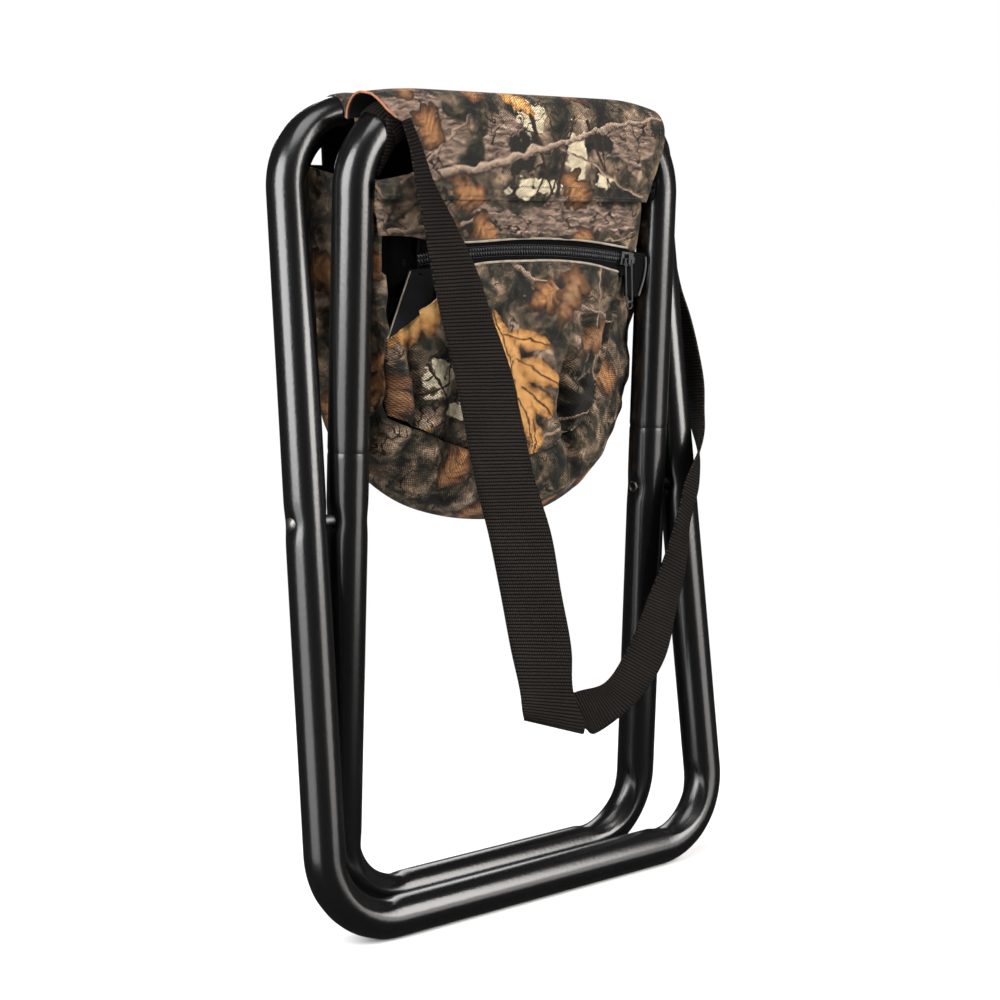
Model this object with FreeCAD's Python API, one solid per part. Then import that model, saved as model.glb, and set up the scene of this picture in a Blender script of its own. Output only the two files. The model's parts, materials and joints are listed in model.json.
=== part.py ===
import FreeCAD, Part
import math
import os

from FreeCAD import Vector

# Folding X-frame stool with a zipped pouch under the seat, stored folded and standing.
# Origin: on the ground, below the middle of the pivot axis. +Z up, -Y front, +X right.

# --- driving dimensions, mm and degrees -------------------------------------------------
TUBE_R = 12.5            # 25 mm round steel tube
WALL = 1.2
BEND_R = 46.0            # centre line of every corner
TILT = 4.6               # each loop leans this much from upright when folded
UPPER_LEG = 238.0        # pivot to the centre of a top rail, along the loop
LOWER_LEG = 242.0        # pivot to the centre of a ground rail
OUTER_HALF = 150.0       # half the leg spacing at the pivot
OUTER_SPLAY = 0.025      # outer legs spread downwards, mm per mm
INNER_HALF = 121.0
INNER_SPLAY = 0.005
BUTT_GAP = 0.4           # between the outer loop's two tube ends
JOINT_Z = 40.0           # where the inner loop's two halves plug together
SWAGE_LENGTH = 28.0

# pivot rivets
HOLE_R = 3.05
SHANK_R = 3.0
DIMPLE_DEPTH = 3.3       # the tube wall is pressed in round each rivet
DIMPLE_R = 16.8
HEAD_R = 5.2
HEAD_HEIGHT = 2.8
SPACER_R = 3.9
WASHER_R = 4.8

# cloth, zip and webbing
CLOTH = 1.2
SLEEVE_IN = 12.8         # inside radius of a rail sleeve
SLEEVE_OUT = 14.2
FRONT_SLEEVE_HALF = 108.0
REAR_SLEEVE_HALF = 118.0
HEM_Z = 188.0            # lower edge of the front flap
SEAT_EDGE_Z = 224.0      # where the sleeves' seat sides end
SEAT_HALF = 104.0        # half the seat panel's width
SEAT_HALF_GAP = 2.8      # half its folded thickness, between the sleeves
SEAT_DROP = 44.0         # its fold hangs this far below the top rails' centres
FRONT_DEPTH = 10.6       # back of the pouch front, ahead of the inner loop's plane
BACK_DEPTH = 28.0        # front of the pouch back, behind the pivot
ZIP_R = 600.0            # the zip runs in a shallow arch
ZIP_TOP = 158.0          # height of the arch above the pivot
ZIP_HALF_SLOT = 7.0      # half the window that the tapes show through
ZIP_REACH = 84.0         # the slider's travel is this far each side of the middle
TOOTH_PITCH = 2.0
STRAP_T = 1.6
LOOP_IN = 12.8           # radii and bend angles of the webbing loops on the top corners
LOOP_OUT = 14.4
LOOP_START = 32.0
LOOP_STOP = 52.0

SIDES = {"left": -1.0, "right": 1.0}
PIVOT_Z = TUBE_R + LOWER_LEG * math.cos(math.radians(TILT))
X_AXIS = Vector(1, 0, 0)
ORIGIN = Vector(0, 0, 0)

# pouch outlines, heights above the pivot: straight sides down to a widest line, then a
# rounded bottom whose squareness is set by a power
FRONT_SHAPE = {"top": 187.0, "top_half": 97.0, "widest": 120.0, "half": 90.0, "bottom": 28.0,
               "power": 1.8}
BACK_SHAPE = {"top": 193.0, "top_half": 127.0, "widest": 75.0, "half": 125.0, "bottom": -8.0,
              "power": 1.6}
BOTTOM_STEPS = 9

# Carry strap: its left and right edge at each station, heights above the pivot.
STRAP_EDGES = [
    ((-101, -39, 230), (-95, -38, 232)),
    ((-95, -38, 214), (-86.5, -37, 216)),
    ((-93, -39, 196), (-79, -37, 197)),
    ((-89.5, -42, 171), (-64.5, -38, 172)),
    ((-86.5, -45, 142), (-51, -41, 143)),
    ((-80, -44, 116), (-42, -43, 116)),
    ((-70, -41, 86), (-33, -48, 85)),
    ((-62, -40, 53), (-25, -49, 51)),
    ((-54, -38, 20), (-20, -53, 19)),
    ((-43, -36, -14), (-11, -57, -15)),
    ((-35, -36, -50), (-4, -57, -51)),
    ((-29, -38, -86), (6, -54, -89)),
    ((-27, -44, -112), (12, -48, -118)),
    ((-27, -46.5, -127), (22, -46.5, -142)),
    ((-25, -44.5, -129.5), (23, -44.5, -146)),
    ((-22, -42, -127), (26, -42, -143)),
    ((16, -42, -120), (38, -37, -150)),
    ((48, -41, -116), (80, -34, -134)),
    ((70, -38, -96), (104, -32, -113)),
    ((92, -34, -66), (127, -22, -79)),
    ((107, -30, -48), (137, -19, -60)),
    ((113, -31, -34), (141, -18.5, -43)),
    ((116.5, -34.5, -18), (142.5, -18.5, -28)),
    ((121, -34, -7), (147.5, -17, -17)),
    ((124, -34, 2), (153, -16, -6)),
    ((132, -32.5, 13), (162, -9, 6)),
    ((145, -27, 24), (170.5, 0, 19)),
    ((156, -20, 36), (177, 12, 33)),
    ((164, -12, 49), (181, 22, 46)),
    ((166, -10, 66), (178, 26, 64)),
    ((166, -5, 89), (173, 31, 87)),
    ((164, 0, 111), (169, 36, 110)),
    ((162, 7, 132), (165, 42, 132)),
    ((161, 12, 158), (163, 43, 158)),
    ((161, 13, 184), (161, 42, 184)),
    ((159, 12, 208), (158, 38, 208)),
]


def write(name, shape):
    shape.exportStep(os.path.join("parts", name + ".step"))


def world(shape, tilt):
    """Move a shape from a loop's own upright frame, origin at the pivot, into place."""
    placed = shape.copy()
    placed.rotate(ORIGIN, X_AXIS, tilt)
    placed.translate(Vector(0, 0, PIVOT_Z))
    return placed


def inner_world(shape):
    return world(shape, TILT)


def outer_world(shape):
    return world(shape, -TILT)


def half_width(half, splay, z):
    return half - splay * z


def rounded_wire(points, radius):
    """Straight runs joined by tangent arcs of one radius."""
    edges = []
    start = points[0]
    for before, corner, after in zip(points, points[1:], points[2:]):
        into = (corner - before).normalize()
        out = (after - corner).normalize()
        turn = into.getAngle(out)
        reach = radius * math.tan(turn / 2)
        begin = corner - into * reach
        end = corner + out * reach
        inward = (out - into).normalize()
        middle = corner + inward * (radius / math.cos(turn / 2) - radius)
        edges.append(Part.LineSegment(start, begin).toShape())
        edges.append(Part.Arc(begin, middle, end).toShape())
        start = end
    edges.append(Part.LineSegment(start, points[-1]).toShape())
    return Part.Wire(edges)


def pipe(points, radius):
    path = rounded_wire(points, BEND_R)
    circle = Part.Circle(points[0], points[1] - points[0], radius)
    profile = Part.Wire([circle.toShape()])
    return path.makePipeShell([profile], True, False)


def extrude_outline(points, depth_from, depth_to):
    """A plate from an outline in X and Z, between two depths along Y."""
    corners = [Vector(x, depth_from, z) for x, z in points]
    face = Part.Face(Part.makePolygon(corners + corners[:1]))
    return face.extrude(Vector(0, depth_to - depth_from, 0))


def x_cylinder(radius, x_from, x_to):
    return Part.makeCylinder(radius, x_to - x_from, Vector(x_from, 0, 0), X_AXIS)


# --- tube loops -------------------------------------------------------------------------
def dimples(half, extra):
    """The spheres that press the tube in, on both sides of both legs."""
    offset = TUBE_R - DIMPLE_DEPTH + DIMPLE_R
    balls = []
    for side in SIDES.values():
        for face in (-1, 1):
            centre = Vector(side * half + face * offset, 0, 0)
            balls.append(Part.makeSphere(DIMPLE_R + extra, centre))
    return balls


def hollow(points, half):
    """A bent tube with its pressed dimples and its rivet holes."""
    outside = pipe(points, TUBE_R).cut(dimples(half, 0.0))
    inside = pipe(points, TUBE_R - WALL).cut(dimples(half, WALL))
    return outside.cut([inside, x_cylinder(HOLE_R, -200, 200)])


def outer_tube():
    top = half_width(OUTER_HALF, OUTER_SPLAY, UPPER_LEG)
    bottom = half_width(OUTER_HALF, OUTER_SPLAY, -LOWER_LEG)
    points = [
        Vector(-BUTT_GAP / 2, 0, UPPER_LEG),
        Vector(-top, 0, UPPER_LEG),
        Vector(-bottom, 0, -LOWER_LEG),
        Vector(bottom, 0, -LOWER_LEG),
        Vector(top, 0, UPPER_LEG),
        Vector(BUTT_GAP / 2, 0, UPPER_LEG),
    ]
    return hollow(points, OUTER_HALF)


def outer_plug():
    """Sleeve inside the outer loop's top rail, across its butt joint."""
    length = 60.0
    base = Vector(-length / 2, 0, UPPER_LEG)
    outside = Part.makeCylinder(TUBE_R - WALL - 0.1, length, base, X_AXIS)
    inside = Part.makeCylinder(TUBE_R - 2 * WALL - 0.1, length, base, X_AXIS)
    return outside.cut(inside)


def inner_x(z):
    return half_width(INNER_HALF, INNER_SPLAY, z)


def inner_upper():
    top = inner_x(UPPER_LEG)
    foot = inner_x(JOINT_Z)
    points = [
        Vector(-foot, 0, JOINT_Z),
        Vector(-top, 0, UPPER_LEG),
        Vector(top, 0, UPPER_LEG),
        Vector(foot, 0, JOINT_Z),
    ]
    outside = pipe(points, TUBE_R)
    return outside.cut(pipe(points, TUBE_R - WALL))


def leg_ring(side, z_from, z_to, outside_r, inside_r):
    """A ring round one inner leg's axis."""
    base = Vector(side * inner_x(z_from), 0, z_from)
    along = Vector(side * inner_x(z_to), 0, z_to) - base
    ring = Part.makeCylinder(outside_r, along.Length, base, along)
    return ring.cut(Part.makeCylinder(inside_r, along.Length, base, along))


def inner_lower():
    """The lower half, with the reduced ends that plug into the upper half."""
    bottom = inner_x(-LOWER_LEG)
    head = inner_x(JOINT_Z - 0.3)
    points = [
        Vector(-head, 0, JOINT_Z - 0.3),
        Vector(-bottom, 0, -LOWER_LEG),
        Vector(bottom, 0, -LOWER_LEG),
        Vector(head, 0, JOINT_Z - 0.3),
    ]
    tube = hollow(points, INNER_HALF)
    plug_r = TUBE_R - WALL - 0.1
    shoulder = JOINT_Z - 0.3
    rings = []
    for side in SIDES.values():
        rings.append(leg_ring(side, shoulder - 2.5, shoulder, TUBE_R - 0.4, plug_r - WALL))
        rings.append(leg_ring(side, shoulder - 2.5, JOINT_Z + SWAGE_LENGTH, plug_r, plug_r - WALL))
    return tube.fuse(rings).removeSplitter()


# --- pivot hardware, right side; turned round for the left ------------------------------------
def dimple_rise(radius):
    return DIMPLE_R - math.sqrt(DIMPLE_R**2 - radius**2)


def rivet():
    """Domed head outside, hollow shank, flared lip inside."""
    seat = OUTER_HALF + TUBE_R - DIMPLE_DEPTH + dimple_rise(HEAD_R) + 0.05
    lip = INNER_HALF - TUBE_R + DIMPLE_DEPTH - dimple_rise(WASHER_R) - 1.6
    dome_r = (HEAD_R**2 + HEAD_HEIGHT**2) / (2 * HEAD_HEIGHT)
    dome = Part.makeSphere(dome_r, Vector(seat + HEAD_HEIGHT - dome_r, 0, 0))
    dome = dome.common(x_cylinder(HEAD_R, seat, seat + 10))
    shank = x_cylinder(SHANK_R, lip, seat + 0.5)
    flare = Part.makeTorus(SHANK_R, 0.8, Vector(lip, 0, 0), X_AXIS)
    bore = x_cylinder(1.9, lip - 2, lip + 30)
    return shank.fuse([dome, flare]).cut(bore)


def spacer():
    start = INNER_HALF + TUBE_R - DIMPLE_DEPTH + dimple_rise(SPACER_R) + 0.25
    stop = OUTER_HALF - TUBE_R + DIMPLE_DEPTH - dimple_rise(SPACER_R) - 0.05
    ring = x_cylinder(SPACER_R, start, stop)
    return ring.cut(x_cylinder(SHANK_R + 0.1, start, stop))


def washer():
    face = INNER_HALF - TUBE_R + DIMPLE_DEPTH - dimple_rise(WASHER_R) - 0.2
    thickness = 0.5
    ring = x_cylinder(WASHER_R, face - thickness, face)
    return ring.cut(x_cylinder(SHANK_R + 0.1, face - thickness, face))


def place_hardware(shape, side):
    placed = shape.copy()
    placed.rotate(ORIGIN, Vector(0, 0, 1), 90 - 90 * side)
    return outer_world(placed)


# --- webbing loops on the rails -----------------------------------------------------------
def bend_band(half, splay, side, start, stop, inside_r, outside_r):
    """A band round a top corner's bend, between two angles from the rail."""
    turn = math.pi / 2 - math.atan(splay)
    centre_x = half_width(half, splay, UPPER_LEG) - BEND_R * math.tan(turn / 2)
    centre = Vector(side * centre_x, 0, UPPER_LEG - BEND_R)
    solids = []
    for radius in (outside_r, inside_r):
        base = centre + Vector(0, 0, BEND_R)
        circle = Part.Wire([Part.Circle(base, X_AXIS, radius).toShape()])
        disc = Part.Face(circle)
        disc.rotate(centre, Vector(0, 1, 0), side * start)
        solids.append(disc.revolve(centre, Vector(0, side, 0), stop - start))
    return solids[0].cut(solids[1])


def front_loop():
    return bend_band(INNER_HALF, INNER_SPLAY, -1, LOOP_START, LOOP_STOP, LOOP_IN, LOOP_OUT)


def rear_loop():
    return bend_band(OUTER_HALF, OUTER_SPLAY, 1, LOOP_START, LOOP_STOP, LOOP_IN, LOOP_OUT)


# --- cloth ------------------------------------------------------------------------------
def sleeve(half_length, front_z, back_z):
    """Cloth over a rail: an upside-down U that hangs to front_z and to back_z."""
    top = Vector(0, 0, UPPER_LEG)
    points = []
    arcs = []
    for radius in (SLEEVE_OUT, SLEEVE_IN):
        points.append(Vector(0, -radius, front_z))
        points.append(Vector(0, -radius, UPPER_LEG))
        points.append(Vector(0, radius, UPPER_LEG))
        points.append(Vector(0, radius, back_z))
        arcs.append(Part.Arc(points[-3], top + Vector(0, 0, radius), points[-2]).toShape())
    out_front, out_left, out_right, out_back, in_front, in_left, in_right, in_back = points
    pairs = [(out_front, out_left), (out_right, out_back), (out_back, in_back),
             (in_back, in_right), (in_left, in_front), (in_front, out_front)]
    edges = [Part.LineSegment(a, b).toShape() for a, b in pairs]
    section = Part.Face(Part.Wire(Part.__sortEdges__(edges + arcs)))
    section.translate(Vector(-half_length, 0, 0))
    return section.extrude(Vector(2 * half_length, 0, 0))


def front_sleeve():
    """Rail sleeve with the front flap, whose ends slope in towards the hem."""
    body = sleeve(FRONT_SLEEVE_HALF, HEM_Z, SEAT_EDGE_Z)
    end = FRONT_SLEEVE_HALF + 1
    ends = []
    for side in SIDES.values():
        slope = [(side * end, 220), (side * end, HEM_Z - 1), (side * 97, HEM_Z - 1)]
        ends.append(extrude_outline(slope, -20, 0))
    body = body.cut(ends)
    room = bend_band(INNER_HALF, INNER_SPLAY, -1, LOOP_START - 4, LOOP_STOP + 4, 1.0, LOOP_OUT + 0.4)
    return body.cut(room)


def rear_sleeve():
    return sleeve(REAR_SLEEVE_HALF, SEAT_EDGE_Z, 200.0)


def seat_panel():
    """The seat cloth, folded down in a narrow V between the two rail sleeves."""
    top = UPPER_LEG + 4.0
    fold = UPPER_LEG - SEAT_DROP
    profiles = []
    for inset in (0.0, CLOTH):
        y = SEAT_HALF_GAP - inset
        outline = [Vector(0, -y, top), Vector(0, -y, fold), Vector(0, y, fold), Vector(0, y, top)]
        arc = Part.Arc(outline[1], Vector(0, 0, fold - y), outline[2]).toShape()
        ends = ((0, 1), (2, 3), (3, 0))
        sides = [Part.LineSegment(outline[i], outline[j]).toShape() for i, j in ends]
        profiles.append(Part.Face(Part.Wire(Part.__sortEdges__(sides + [arc]))))
    section = profiles[0].cut(profiles[1])
    section.translate(Vector(-SEAT_HALF, 0, 0))
    panel = section.extrude(Vector(2 * SEAT_HALF, 0, 0))
    panel.translate(Vector(0, 0, PIVOT_Z))
    return panel


def pouch_outline(shape):
    """The whole outline, from the top right corner round the bottom to the top left."""
    right = [(shape["top_half"], shape["top"])]
    drop = shape["widest"] - shape["bottom"]
    for i in range(BOTTOM_STEPS + 1):
        turn = math.pi / 2 * i / BOTTOM_STEPS
        x = shape["half"] * math.cos(turn) ** (2 / shape["power"])
        right.append((x, shape["widest"] - drop * math.sin(turn) ** (2 / shape["power"])))
    return right[:-1] + [(0, shape["bottom"])] + [(-x, z) for x, z in reversed(right[:-1])]


def zip_window():
    """The arched window between the pouch front's two cloth pieces."""
    centre = Vector(0, -30, ZIP_TOP - ZIP_R)
    towards = Vector(0, 1, 0)
    ring = Part.makeCylinder(ZIP_R + ZIP_HALF_SLOT, 60, centre, towards)
    return ring.cut(Part.makeCylinder(ZIP_R - ZIP_HALF_SLOT, 60, centre, towards))


def pouch_front():
    """The front's two pieces: the band above the zip, and the panel below it."""
    plate = extrude_outline(pouch_outline(FRONT_SHAPE), -FRONT_DEPTH, -FRONT_DEPTH - CLOTH)
    pieces = plate.cut(zip_window()).Solids
    pieces.sort(key=lambda solid: solid.CenterOfMass.z)
    return pieces[-1], pieces[0]


def pouch_back():
    plate = extrude_outline(pouch_outline(BACK_SHAPE), BACK_DEPTH, BACK_DEPTH + CLOTH)
    plate.translate(Vector(0, 0, PIVOT_Z))
    return plate


def outline_wire(shape, depth, tilt, inset):
    """An outline pulled in by the cloth's thickness, stood in its own plane."""
    corners = []
    for x, z in pouch_outline(shape):
        side = (x > 0) - (x < 0)
        level = z + inset if z < shape["top"] else z + 4 * inset
        corners.append(Vector(x - side * inset, depth, level))
    wire = Part.makePolygon(corners + corners[:1])
    wire.rotate(ORIGIN, X_AXIS, tilt)
    wire.translate(Vector(0, 0, PIVOT_Z))
    return wire


def pouch_gusset():
    """The side and bottom strip, which widens from the pouch front to its back."""
    shells = []
    for inset, over in ((0.0, 0.0), (CLOTH, 2.0)):
        front = outline_wire(FRONT_SHAPE, -FRONT_DEPTH + 0.3 - over, TILT, inset)
        back = outline_wire(BACK_SHAPE, BACK_DEPTH - 0.3 + over, 0.0, inset)
        shells.append(Part.makeLoft([front, back], True, True))
    return shells[0].cut(shells[1])


# --- zip --------------------------------------------------------------------------------
def zip_point(angle, radius):
    bend = math.radians(angle)
    return radius * math.sin(bend), ZIP_TOP - ZIP_R + radius * math.cos(bend)


def zip_plate(angle_from, angle_to, radius_from, radius_to, depth_from, depth_to, steps=1):
    """A plate along the zip's arch, between two angles and two radii."""
    spots = [angle_from + (angle_to - angle_from) * i / steps for i in range(steps + 1)]
    outline = [zip_point(a, radius_to) for a in spots]
    outline += [zip_point(a, radius_from) for a in reversed(spots)]
    return extrude_outline(outline, depth_from, depth_to)


def zip_angle(x):
    return math.degrees(math.asin(x / ZIP_R))


def zip_tape(direction):
    reach = zip_angle(90.0)
    edges = sorted((ZIP_R + direction * 2.2, ZIP_R + direction * 12.0))
    return zip_plate(-reach, reach, edges[0], edges[1], -10.3, -9.5, 16)


def zip_teeth(direction):
    """One row of teeth; the two rows leave a slit for the slider's post."""
    pitch = zip_angle(TOOTH_PITCH)
    count = 84
    edges = sorted((ZIP_R + direction * 0.35, ZIP_R + direction * 1.9))
    teeth = []
    for i in range(count):
        start = (i - count / 2 + (0.25 if direction > 0 else 0.0)) * pitch
        teeth.append(zip_plate(start, start + pitch * 0.55, edges[0], edges[1], -11.3, -9.5))
    return Part.makeCompound(teeth)


def zip_stops():
    """Metal clips past both ends of the teeth."""
    clips = []
    for start in (-91.6, 90.2):
        angle = zip_angle(start)
        clips.append(zip_plate(angle, angle + 0.16, ZIP_R - 2.0, ZIP_R + 2.0, -11.4, -10.4))
    return Part.makeCompound(clips)


def zip_end_tabs():
    """Cloth squares sewn over both ends of the tapes."""
    tabs = []
    for start in (-99.0, 93.5):
        angle = zip_angle(start)
        tabs.append(zip_plate(angle, angle + 0.53, ZIP_R - 11.0, ZIP_R + 8.0, -12.9, -12.0))
    return Part.makeCompound(tabs)


def slider_plate(half_angle, r_from, r_to, d_from, d_to):
    """A block of the slider, centred on its place along the zip."""
    middle = zip_angle(ZIP_REACH)
    return zip_plate(middle - half_angle, middle + half_angle, ZIP_R + r_from, ZIP_R + r_to,
                     d_from, d_to)


def zip_slider():
    """Two plates joined by a thin post, with a bail for the pull."""
    half_angle = 0.48
    half_height = 4.2
    middle = zip_angle(ZIP_REACH)
    front = slider_plate(half_angle, -half_height, half_height, -12.9, -11.8)
    back = slider_plate(half_angle, -half_height, half_height, -9.1, -8.3)
    post = slider_plate(0.4 * half_angle, -0.18, 0.18, -12.0, -8.5)
    rims = [slider_plate(half_angle, -half_height, 0.8 - half_height, -12.0, -10.7),
            slider_plate(half_angle, half_height - 0.8, half_height, -12.0, -10.7)]
    x, z = zip_point(middle, ZIP_R)
    bail = Part.makeBox(1.6, 2.6, 6.0, Vector(x - 0.8, -15.4, z - 3.0))
    hole = Part.makeCylinder(0.9, 4, Vector(x - 2, -14.2, z), X_AXIS)
    return front.fuse([back, post, bail] + rims).cut(hole)


def zip_pull():
    """A long wire loop that hangs from the bail, stored hanging straight down."""
    x, z = zip_point(zip_angle(ZIP_REACH), ZIP_R)
    wire_r = 0.6
    half = 2.5
    length = 27.0
    crosses = [Part.makeCylinder(wire_r, 2 * half, Vector(-half, 0, level), X_AXIS)
               for level in (0, -length)]
    rods = [Part.makeCylinder(wire_r, length, Vector(side * half, 0, -length))
            for side in SIDES.values()]
    balls = [Part.makeSphere(wire_r, Vector(side * half, 0, level))
             for side in SIDES.values() for level in (0, -length)]
    grip = Part.makeTorus(2.2, 0.6, Vector(0, 0, -length - 2.6), Vector(0, 1, 0))
    pull = crosses[0].fuse(crosses[1:] + rods + balls + [grip])
    hinge = Vector(x, -14.2, z)
    place = inner_world(Part.Vertex(hinge)).Point
    pull.translate(place)
    return pull


# --- carry strap --------------------------------------------------------------------------
def strap_sections():
    """Four corners at each station, with the strap's thickness along its own normal."""
    pairs = [(Vector(*left), Vector(*right)) for left, right in STRAP_EDGES]
    middles = [(left + right) * 0.5 for left, right in pairs]
    sections = []
    for i, (left, right) in enumerate(pairs):
        ahead = middles[min(i + 1, len(middles) - 1)]
        behind = middles[max(i - 1, 0)]
        normal = (ahead - behind).cross(right - left).normalize() * (STRAP_T / 2)
        lift = Vector(0, 0, PIVOT_Z)
        corners = (left - normal, right - normal, right + normal, left + normal)
        sections.append([corner + lift for corner in corners])
    return sections


def two_facets(a, b, c, d):
    """A four-sided patch split along its a to c diagonal, the same way on both faces."""
    return [Part.Face(Part.makePolygon([a, b, c, a])), Part.Face(Part.makePolygon([a, c, d, a]))]


def carry_strap():
    """A closed band of flat facets through the strap's stations."""
    sections = strap_sections()
    faces = []
    for near, far in zip(sections, sections[1:]):
        for i in range(4):
            j = (i + 1) % 4
            if i < 2:
                faces += two_facets(near[i], near[j], far[j], far[i])
            else:
                faces += two_facets(near[j], far[j], far[i], near[i])
    for end in (sections[0], sections[-1]):
        faces += two_facets(*end)
    solid = Part.Solid(Part.Shell(faces))
    if solid.Volume < 0:
        solid.reverse()
    middles = [(s[0] + s[2]) * 0.5 for s in sections]
    length = sum(a.distanceToPoint(b) for a, b in zip(middles, middles[1:]))
    print("carry strap length", round(length, 1), "mm")
    return solid


def main():
    os.makedirs("parts", exist_ok=True)
    band, panel = pouch_front()
    write("outer_frame_tube", outer_world(outer_tube()))
    write("outer_frame_plug", outer_world(outer_plug()))
    write("inner_upper_tube", inner_world(inner_upper()))
    write("inner_lower_tube", inner_world(inner_lower()))
    for name, side in SIDES.items():
        write("pivot_rivet_" + name, place_hardware(rivet(), side))
        write("pivot_spacer_" + name, place_hardware(spacer(), side))
        write("pivot_washer_" + name, place_hardware(washer(), side))
    write("front_sleeve", inner_world(front_sleeve()))
    write("rear_sleeve", outer_world(rear_sleeve()))
    write("seat_panel", seat_panel())
    write("pouch_front_band", inner_world(band))
    write("pouch_front_panel", inner_world(panel))
    write("pouch_back_panel", pouch_back())
    write("pouch_gusset", pouch_gusset())
    write("zip_tape_upper", inner_world(zip_tape(1)))
    write("zip_tape_lower", inner_world(zip_tape(-1)))
    write("zip_teeth_upper", inner_world(zip_teeth(1)))
    write("zip_teeth_lower", inner_world(zip_teeth(-1)))
    write("zip_stops", inner_world(zip_stops()))
    write("zip_end_tabs", inner_world(zip_end_tabs()))
    write("zip_slider", inner_world(zip_slider()))
    write("zip_pull", zip_pull())
    write("strap_loop_front", inner_world(front_loop()))
    write("strap_loop_rear", outer_world(rear_loop()))
    write("carry_strap", carry_strap())


main()
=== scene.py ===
import json
import math

import bpy
import numpy as np
from mathutils import Matrix, Vector


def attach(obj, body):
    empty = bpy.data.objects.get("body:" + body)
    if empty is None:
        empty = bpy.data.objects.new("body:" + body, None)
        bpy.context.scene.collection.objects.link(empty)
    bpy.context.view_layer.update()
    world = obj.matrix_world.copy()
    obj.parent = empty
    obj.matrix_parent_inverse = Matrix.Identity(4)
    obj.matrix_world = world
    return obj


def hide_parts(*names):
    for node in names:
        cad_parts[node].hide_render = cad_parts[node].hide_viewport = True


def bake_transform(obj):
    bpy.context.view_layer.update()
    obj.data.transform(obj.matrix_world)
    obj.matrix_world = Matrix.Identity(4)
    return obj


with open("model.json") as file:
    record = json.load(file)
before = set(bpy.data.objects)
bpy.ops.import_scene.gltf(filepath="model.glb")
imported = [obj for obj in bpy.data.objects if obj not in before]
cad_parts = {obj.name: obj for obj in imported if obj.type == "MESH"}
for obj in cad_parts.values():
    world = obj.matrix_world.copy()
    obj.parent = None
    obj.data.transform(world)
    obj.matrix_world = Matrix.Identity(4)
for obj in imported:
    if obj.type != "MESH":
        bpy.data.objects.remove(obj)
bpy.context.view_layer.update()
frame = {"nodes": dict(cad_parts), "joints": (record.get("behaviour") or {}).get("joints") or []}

# --- places, in millimetres on a loop: right, up from the pivot, ahead of its plane ----------
PIVOT = np.array(next(j for j in frame["joints"] if j["name"] == "fold")["pos_m"])
TILT = math.radians(4.6)
COS, SIN = math.cos(TILT), math.sin(TILT)
TUBE_R = 12.5
BEND_R = 46.0
RAIL, FOOT = 238.0, -242.0
INNER_HALF, OUTER_HALF = 121 - 0.005 * RAIL, 150 - 0.025 * RAIL
OPENING = math.radians(54)
CLOTH = 0.9
SLEEVE_R = 13.9
FRONT_HEM, REAR_HEM = 188, 198


def on_loop(x, s, d, lean):
    x, s, d = np.broadcast_arrays(*(np.asarray(v, float) for v in (x, s, d)))
    spot = np.stack([x, -d * COS - lean * s * SIN, s * COS - lean * d * SIN], -1)
    return spot / 1000 + PIVOT


def inner(x, s, d):
    return on_loop(x, s, d, 1)


def outer(x, s, d):
    return on_loop(x, s, d, -1)


def upright(x, s, y):
    """Millimetres right, up from the pivot and behind it, with no lean."""
    x, s, y = np.broadcast_arrays(*(np.asarray(v, float) for v in (x, s, y)))
    return np.stack([x, y, s], -1) / 1000 + PIVOT


def smoothstep(low, high, value):
    t = np.clip((np.asarray(value, float) - low) / (high - low), 0, 1)
    return t * t * (3 - 2 * t)


def run_along(points):
    """The distance gone at each point of a line."""
    return np.r_[0, np.cumsum(np.linalg.norm(np.diff(points, axis=0), axis=1))]


def spline(knots, count):
    """Evenly spaced points on a smooth curve through the knots."""
    k = np.asarray(knots, float)
    t = run_along(k)
    slope = np.gradient(k, t, axis=0)
    u = np.linspace(0, t[-1], count)
    i = np.clip(np.searchsorted(t, u, side="right") - 1, 0, len(t) - 2)
    h = (t[i + 1] - t[i])[:, None]
    f = (u - t[i])[:, None] / h
    near = (2 * f**3 - 3 * f**2 + 1) * k[i] + (f**3 - 2 * f**2 + f) * h * slope[i]
    return near + (3 * f**2 - 2 * f**3) * k[i + 1] + (f**3 - f**2) * h * slope[i + 1]


def wobble(x, y, seed, scale, octaves=3):
    """Smooth repeatable unevenness, about -1 to 1, from a few crossed waves."""
    rng = np.random.default_rng(seed)
    total = np.zeros(np.broadcast(x, y).shape)
    for k in range(octaves):
        for _ in range(3):
            a, p = rng.uniform(0, 2 * math.pi, 2)
            f = 2 * math.pi / scale * 1.9**k * rng.uniform(0.7, 1.3)
            total = total + 0.5**k * np.sin(f * (x * math.cos(a) + y * math.sin(a)) + p)
    return total / 3


def ridge(x, y, start, end, width):
    """1 on the line from start to end, falling to 0 over width."""
    (ax, ay), (bx, by) = start, end
    length = math.hypot(bx - ax, by - ay)
    t = np.clip(((x - ax) * (bx - ax) + (y - ay) * (by - ay)) / length**2, 0, 1)
    away = np.hypot(x - ax - t * (bx - ax), y - ay - t * (by - ay))
    taper = np.sqrt(np.clip(np.sin(math.pi * np.clip(t, 0.06, 0.94)), 0, 1))
    return np.exp(-((away / width) ** 2)) * taper


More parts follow.
